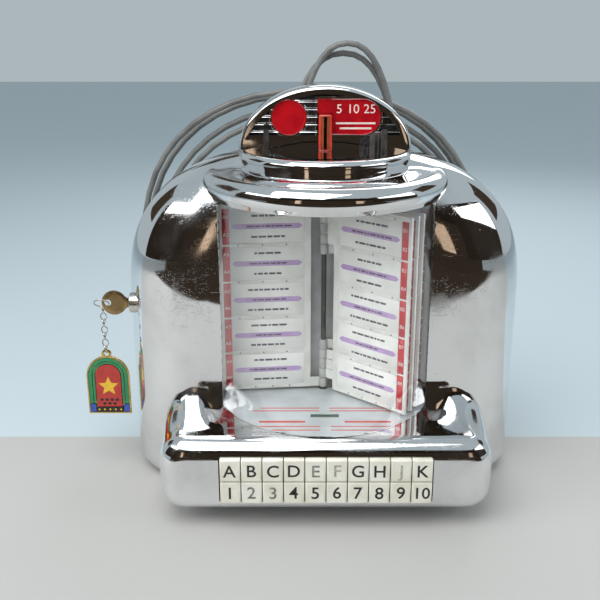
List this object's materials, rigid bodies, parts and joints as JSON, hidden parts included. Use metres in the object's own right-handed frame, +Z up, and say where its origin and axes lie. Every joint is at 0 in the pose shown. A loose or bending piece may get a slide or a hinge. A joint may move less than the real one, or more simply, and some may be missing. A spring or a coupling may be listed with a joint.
{
  "type": "jukebox wall box selector",
  "caption": "Chromed arched wall box with a bow-fronted page rack, rows of selection buttons and a coin entry, hinged on a back pan, with its key and cable.",
  "frame": {"origin": "on the plane that the box stands on, in its symmetry plane, 80 mm in front of the wall plane", "axes": "+X to the right seen from the front, +Y to the wall, +Z up; the buttons face -Y"},
  "size_m": [0.3504, 0.2029, 0.3455],
  "materials": {
    "zinc_steel": "zinc-plated sheet steel, dulled",
    "rejector_zinc": "die-cast zinc, unplated",
    "coil_wrap": "varnished winding",
    "phenolic": "brown phenolic sheet",
    "black_plastic": "moulded black",
    "cable_grey": "grey vinyl jacket, semi-matte",
    "chrome_casting": "bright plated zinc casting with light pitting",
    "clear_window": "clear acrylic",
    "dark_steel": "blackened steel",
    "red_plastic": "translucent red acrylic",
    "plate_grey": "printed metal plate, satin",
    "spring_steel": "spring wire",
    "lamp_glass": "milky tube with metal ends",
    "brass": "worn brass",
    "nickel": "nickel plate",
    "enamel_fob": "enamelled brass",
    "page_plastic": "off-white moulded frame with printed strips",
    "ivory_plastic": "aged ivory plastic"
  },
  "bodies": {
    "base": {"back_pan": "zinc_steel", "hinge_base": "zinc_steel", "coin_rejector": "rejector_zinc", "lockout_coil": "coil_wrap", "cash_box": "zinc_steel", "terminal_strip": "phenolic", "cable_gland": "black_plastic", "cable_lead": "cable_grey", "cable_coil": "cable_grey", "cable_tail": "cable_grey", "cable_plug": "black_plastic", "lock_catch": "zinc_steel"},
    "cover": {"cover_casting": "chrome_casting", "head_casting": "chrome_casting", "hinge_cover": "zinc_steel", "bow_window": "clear_window", "page_panel": "zinc_steel", "page_spindle": "dark_steel", "round_lens": "red_plastic", "price_lens": "red_plastic", "coin_bezel": "red_plastic", "coin_entry_chute": "rejector_zinc", "instruction_plate": "plate_grey", "button_frame": "zinc_steel", "button_springs": "spring_steel", "contact_board": "phenolic", "lamp": "lamp_glass", "selector_disc": "phenolic", "selector_motor": "dark_steel", "lock_barrel": "nickel"},
    "selector_arm": {"selector_arm": "brass"},
    "key": {"lock_plug": "brass", "key": "brass"},
    "fob": {"key_chain": "nickel", "key_fob": "enamel_fob"},
    "page_1": {"page_1": "page_plastic"},
    "page_2": {"page_2": "page_plastic"},
    "page_3": {"page_3": "page_plastic"},
    "page_4": {"page_4": "page_plastic"},
    "page_5": {"page_5": "page_plastic"},
    "button_a": {"button_a": "ivory_plastic"},
    "button_b": {"button_b": "ivory_plastic"},
    "button_c": {"button_c": "ivory_plastic"},
    "button_d": {"button_d": "ivory_plastic"},
    "button_e": {"button_e": "ivory_plastic"},
    "button_f": {"button_f": "ivory_plastic"},
    "button_g": {"button_g": "ivory_plastic"},
    "button_h": {"button_h": "ivory_plastic"},
    "button_j": {"button_j": "ivory_plastic"},
    "button_k": {"button_k": "ivory_plastic"},
    "button_1": {"button_1": "ivory_plastic"},
    "button_2": {"button_2": "ivory_plastic"},
    "button_3": {"button_3": "ivory_plastic"},
    "button_4": {"button_4": "ivory_plastic"},
    "button_5": {"button_5": "ivory_plastic"},
    "button_6": {"button_6": "ivory_plastic"},
    "button_7": {"button_7": "ivory_plastic"},
    "button_8": {"button_8": "ivory_plastic"},
    "button_9": {"button_9": "ivory_plastic"},
    "button_10": {"button_10": "ivory_plastic"}
  },
  "joints": [
    {"name": "cover_hinge", "type": "hinge", "parent": "base", "child": "cover", "pos_m": [0.1516, 0.051, 0.0825], "axis": [0, 0, 1], "range_deg": [0, 100]},
    {"name": "selector_spin", "type": "hinge", "parent": "cover", "child": "selector_arm", "pos_m": [0.06, -0.015, 0.04], "axis": [0, 1, 0], "continuous": true},
    {"name": "key_turn", "type": "hinge", "parent": "cover", "child": "key", "pos_m": [-0.142, 0.016, 0.1475], "axis": [1, 0, 0], "range_deg": [-90, 0]},
    {"name": "fob_swing", "type": "hinge", "parent": "cover", "child": "fob", "pos_m": [-0.172, 0.016, 0.1475], "axis": [1, 0, 0], "range_deg": [-15, 15]},
    {"name": "page_1_turn", "type": "hinge", "parent": "cover", "child": "page_1", "pos_m": [0, 0.026, 0.149], "axis": [0, 0, -1], "range_deg": [-117, 0]},
    {"name": "page_2_turn", "type": "hinge", "parent": "cover", "child": "page_2", "pos_m": [0, 0.026, 0.149], "axis": [0, 0, -1], "range_deg": [0, 124]},
    {"name": "page_3_turn", "type": "hinge", "parent": "cover", "child": "page_3", "pos_m": [0, 0.026, 0.149], "axis": [0, 0, -1], "range_deg": [0, 124]},
    {"name": "page_4_turn", "type": "hinge", "parent": "cover", "child": "page_4", "pos_m": [0, 0.026, 0.149], "axis": [0, 0, -1], "range_deg": [0, 124]},
    {"name": "page_5_turn", "type": "hinge", "parent": "cover", "child": "page_5", "pos_m": [0, 0.026, 0.149], "axis": [0, 0, -1], "range_deg": [0, 143]},
    {"name": "button_a_press", "type": "slide", "parent": "cover", "child": "button_a", "axis": [0, 1, 0], "range_m": [0, 0.0035], "stiffness_N_per_m": 600, "springref_m": -0.003, "deforming": ["button_springs"]},
    {"name": "button_b_press", "type": "slide", "parent": "cover", "child": "button_b", "axis": [0, 1, 0], "range_m": [0, 0.0035], "stiffness_N_per_m": 600, "springref_m": -0.003, "deforming": ["button_springs"]},
    {"name": "button_c_press", "type": "slide", "parent": "cover", "child": "button_c", "axis": [0, 1, 0], "range_m": [0, 0.0035], "stiffness_N_per_m": 600, "springref_m": -0.003, "deforming": ["button_springs"]},
    {"name": "button_d_press", "type": "slide", "parent": "cover", "child": "button_d", "axis": [0, 1, 0], "range_m": [0, 0.0035], "stiffness_N_per_m": 600, "springref_m": -0.003, "deforming": ["button_springs"]},
    {"name": "button_e_press", "type": "slide", "parent": "cover", "child": "button_e", "axis": [0, 1, 0], "range_m": [0, 0.0035], "stiffness_N_per_m": 600, "springref_m": -0.003, "deforming": ["button_springs"]},
    {"name": "button_f_press", "type": "slide", "parent": "cover", "child": "button_f", "axis": [0, 1, 0], "range_m": [0, 0.0035], "stiffness_N_per_m": 600, "springref_m": -0.003, "deforming": ["button_springs"]},
    {"name": "button_g_press", "type": "slide", "parent": "cover", "child": "button_g", "axis": [0, 1, 0], "range_m": [0, 0.0035], "stiffness_N_per_m": 600, "springref_m": -0.003, "deforming": ["button_springs"]},
    {"name": "button_h_press", "type": "slide", "parent": "cover", "child": "button_h", "axis": [0, 1, 0], "range_m": [0, 0.0035], "stiffness_N_per_m": 600, "springref_m": -0.003, "deforming": ["button_springs"]},
    {"name": "button_j_press", "type": "slide", "parent": "cover", "child": "button_j", "axis": [0, 1, 0], "range_m": [0, 0.0035], "stiffness_N_per_m": 600, "springref_m": -0.003, "deforming": ["button_springs"]},
    {"name": "button_k_press", "type": "slide", "parent": "cover", "child": "button_k", "axis": [0, 1, 0], "range_m": [0, 0.0035], "stiffness_N_per_m": 600, "springref_m": -0.003, "deforming": ["button_springs"]},
    {"name": "button_1_press", "type": "slide", "parent": "cover", "child": "button_1", "axis": [0, 1, 0], "range_m": [0, 0.0035], "stiffness_N_per_m": 600, "springref_m": -0.003, "deforming": ["button_springs"]},
    {"name": "button_2_press", "type": "slide", "parent": "cover", "child": "button_2", "axis": [0, 1, 0], "range_m": [0, 0.0035], "stiffness_N_per_m": 600, "springref_m": -0.003, "deforming": ["button_springs"]},
    {"name": "button_3_press", "type": "slide", "parent": "cover", "child": "button_3", "axis": [0, 1, 0], "range_m": [0, 0.0035], "stiffness_N_per_m": 600, "springref_m": -0.003, "deforming": ["button_springs"]},
    {"name": "button_4_press", "type": "slide", "parent": "cover", "child": "button_4", "axis": [0, 1, 0], "range_m": [0, 0.0035], "stiffness_N_per_m": 600, "springref_m": -0.003, "deforming": ["button_springs"]},
    {"name": "button_5_press", "type": "slide", "parent": "cover", "child": "button_5", "axis": [0, 1, 0], "range_m": [0, 0.0035], "stiffness_N_per_m": 600, "springref_m": -0.003, "deforming": ["button_springs"]},
    {"name": "button_6_press", "type": "slide", "parent": "cover", "child": "button_6", "axis": [0, 1, 0], "range_m": [0, 0.0035], "stiffness_N_per_m": 600, "springref_m": -0.003, "deforming": ["button_springs"]},
    {"name": "button_7_press", "type": "slide", "parent": "cover", "child": "button_7", "axis": [0, 1, 0], "range_m": [0, 0.0035], "stiffness_N_per_m": 600, "springref_m": -0.003, "deforming": ["button_springs"]},
    {"name": "button_8_press", "type": "slide", "parent": "cover", "child": "button_8", "axis": [0, 1, 0], "range_m": [0, 0.0035], "stiffness_N_per_m": 600, "springref_m": -0.003, "deforming": ["button_springs"]},
    {"name": "button_9_press", "type": "slide", "parent": "cover", "child": "button_9", "axis": [0, 1, 0], "range_m": [0, 0.0035], "stiffness_N_per_m": 600, "springref_m": -0.003, "deforming": ["button_springs"]},
    {"name": "button_10_press", "type": "slide", "parent": "cover", "child": "button_10", "axis": [0, 1, 0], "range_m": [0, 0.0035], "stiffness_N_per_m": 600, "springref_m": -0.003, "deforming": ["button_springs"]}
  ],
  "couplings": [
    {"joint": "page_3_turn", "follows": "page_2_turn", "ratio": 1},
    {"joint": "page_4_turn", "follows": "page_2_turn", "ratio": 1},
    {"joint": "page_5_turn", "follows": "page_2_turn", "ratio": 1.153}
  ]
}
